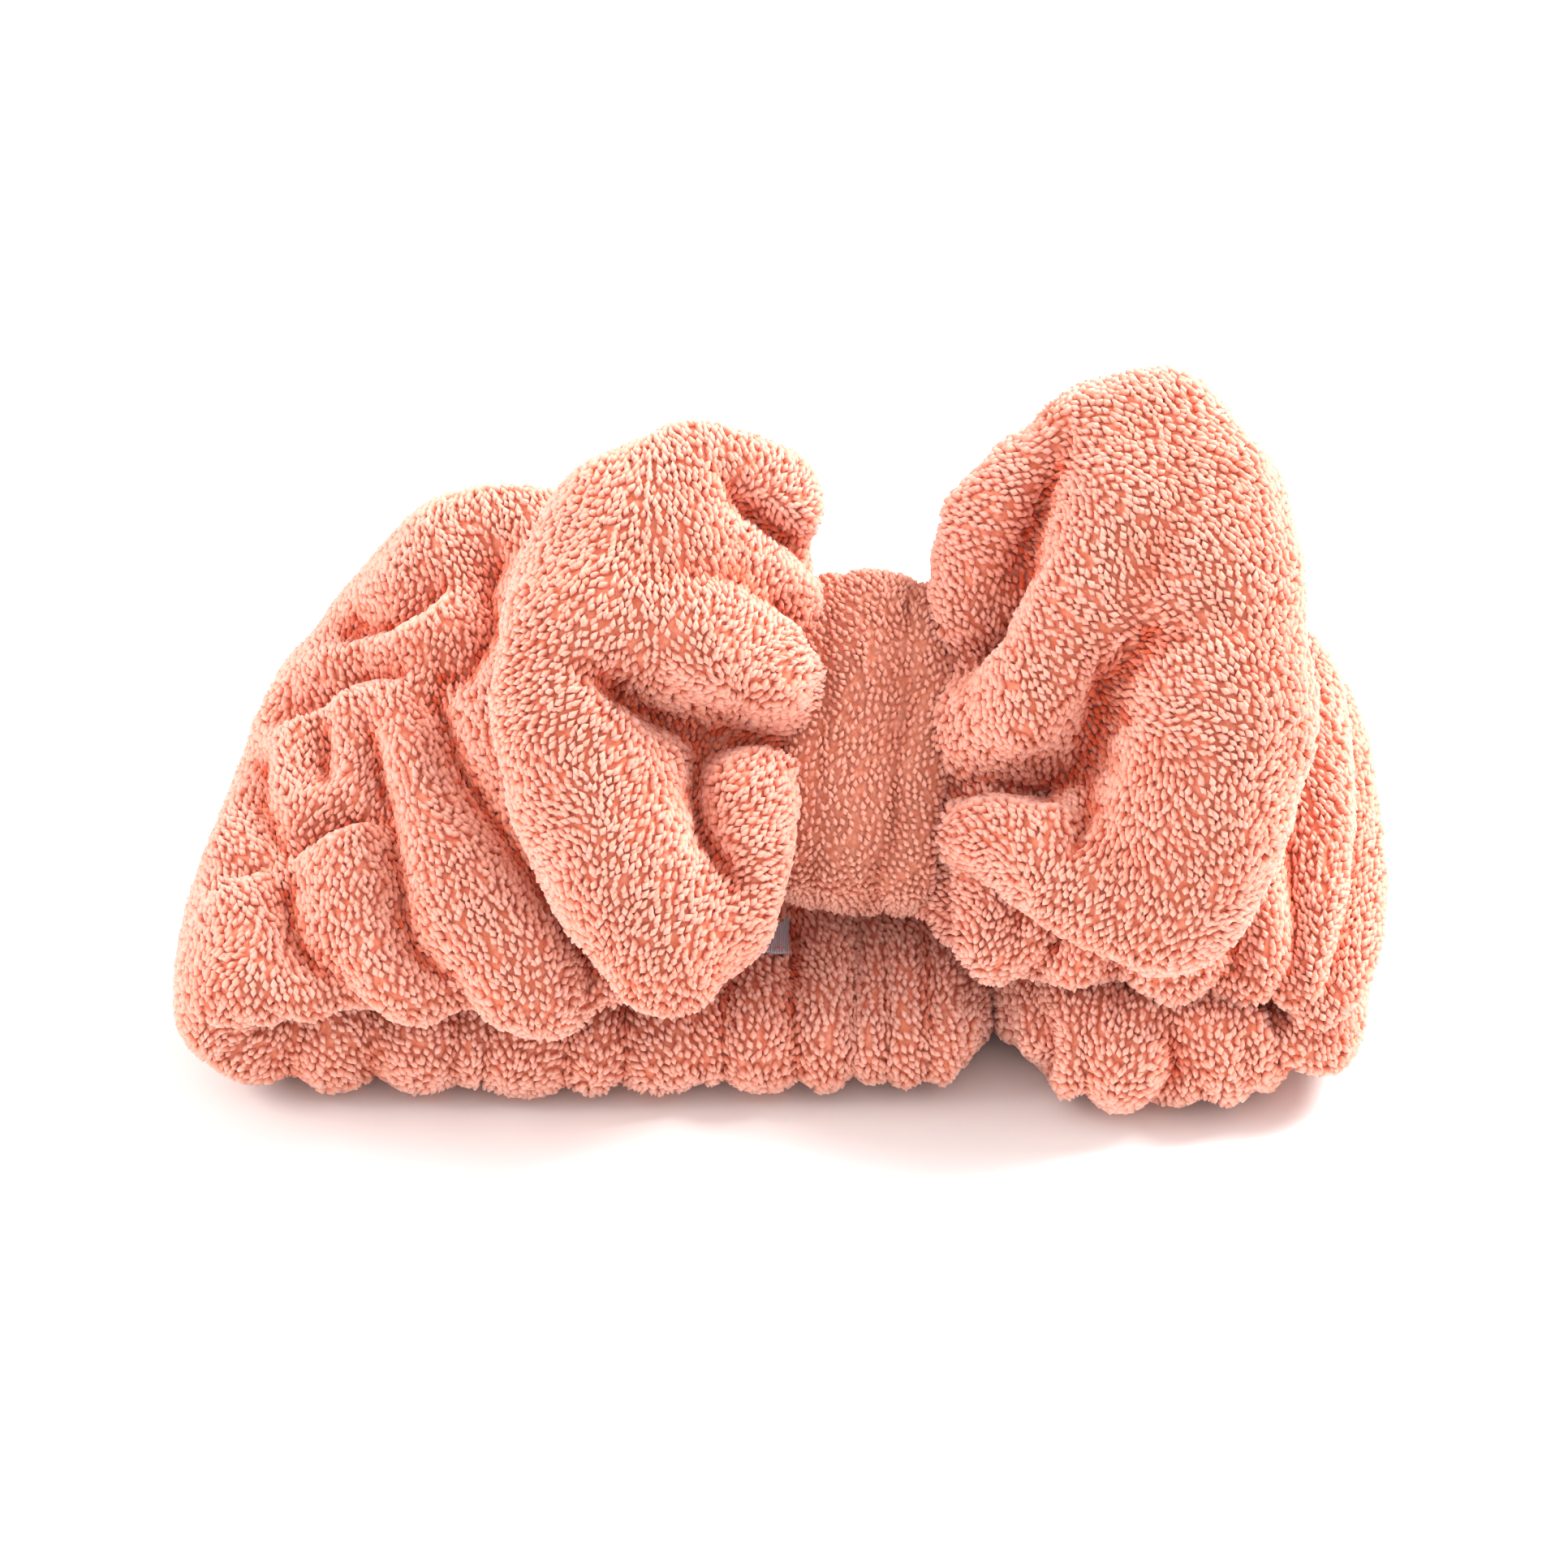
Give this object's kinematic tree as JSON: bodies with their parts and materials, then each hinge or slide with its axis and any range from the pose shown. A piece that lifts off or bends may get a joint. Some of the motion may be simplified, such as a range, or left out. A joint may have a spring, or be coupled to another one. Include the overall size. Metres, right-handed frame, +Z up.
{
  "type": "spa headband",
  "caption": "Soft elastic headband of gathered plush fleece with a large padded bow held by a knot wrap; keeps hair off the face.",
  "frame": {"origin": "centre of the part's bounding box, at its base, on the table that the band lies on", "axes": "+X along the flattened ring to the right as seen facing the bow, +Y across the band away from the viewer, +Z up"},
  "size_m": [0.223, 0.1138, 0.1249],
  "materials": {
    "fleece": "coral microfibre plush, matt, clumped pile",
    "wrap_fleece": "the same plush pressed flatter and duller, matt",
    "elastic": "woven elastic, matt, fine ribs along its length",
    "wadding": "loose polyester wadding, matt",
    "thread": "polyester sewing thread, slight sheen",
    "label": "plain woven tape, matt"
  },
  "bodies": {
    "rear_band": {"sleeve_rear_left": "fleece", "sleeve_rear_right": "fleece", "sleeve_front_left": "fleece", "sleeve_front_right": "fleece", "elastic_rear_left": "elastic", "elastic_rear_right": "elastic", "elastic_front_left": "elastic", "elastic_front_right": "elastic", "elastic_lap_stitches": "thread", "sleeve_end_stitches": "thread", "care_label": "label", "label_stitches": "thread"},
    "left_end": {"sleeve_left_bend": "fleece", "elastic_left_bend": "elastic"},
    "right_end": {"sleeve_right_bend": "fleece", "elastic_right_bend": "elastic"},
    "bow_centre": {"knot_wrap": "wrap_fleece", "bow_waist": "fleece", "waist_thread": "thread", "knot_stitches": "thread"},
    "left_lobe": {"left_lobe_cover": "fleece", "left_lobe_wadding": "wadding", "left_lobe_stitches": "thread"},
    "right_lobe": {"right_lobe_cover": "fleece", "right_lobe_wadding": "wadding", "right_lobe_stitches": "thread"}
  },
  "joints": [
    {"name": "left_stretch", "type": "slide", "parent": "rear_band", "child": "left_end", "axis": [-1, 0, 0], "range_m": [0, 0.045], "stiffness_N_per_m": 60, "deforming": ["sleeve_front_left", "sleeve_rear_left", "elastic_front_left", "elastic_rear_left"]},
    {"name": "right_stretch", "type": "slide", "parent": "rear_band", "child": "right_end", "axis": [1, 0, 0], "range_m": [0, 0.034], "stiffness_N_per_m": 80, "deforming": ["sleeve_front_right", "sleeve_rear_right", "elastic_front_right", "elastic_rear_right"]},
    {"name": "bow_tilt", "type": "hinge", "parent": "rear_band", "child": "bow_centre", "pos_m": [0.0145, 0.01041, 0.0505], "axis": [1, 0, 0], "range_deg": [-10, 8], "stiffness_Nm_per_rad": 0.1, "deforming": ["sleeve_front_left", "sleeve_front_right", "elastic_front_left", "elastic_front_right", "sleeve_end_stitches"]},
    {"name": "left_lobe_flex", "type": "hinge", "parent": "bow_centre", "child": "left_lobe", "pos_m": [0.0005, 0.00334, 0.05757], "axis": [0, 0.7071, 0.7071], "range_deg": [-2, 18], "stiffness_Nm_per_rad": 0.05},
    {"name": "right_lobe_flex", "type": "hinge", "parent": "bow_centre", "child": "right_lobe", "pos_m": [0.0285, 0.00334, 0.05757], "axis": [0, -0.7071, -0.7071], "range_deg": [-2, 18], "stiffness_Nm_per_rad": 0.05}
  ],
  "couplings": [
    {"joint": "right_stretch", "follows": "left_stretch", "ratio": 0.75}
  ]
}
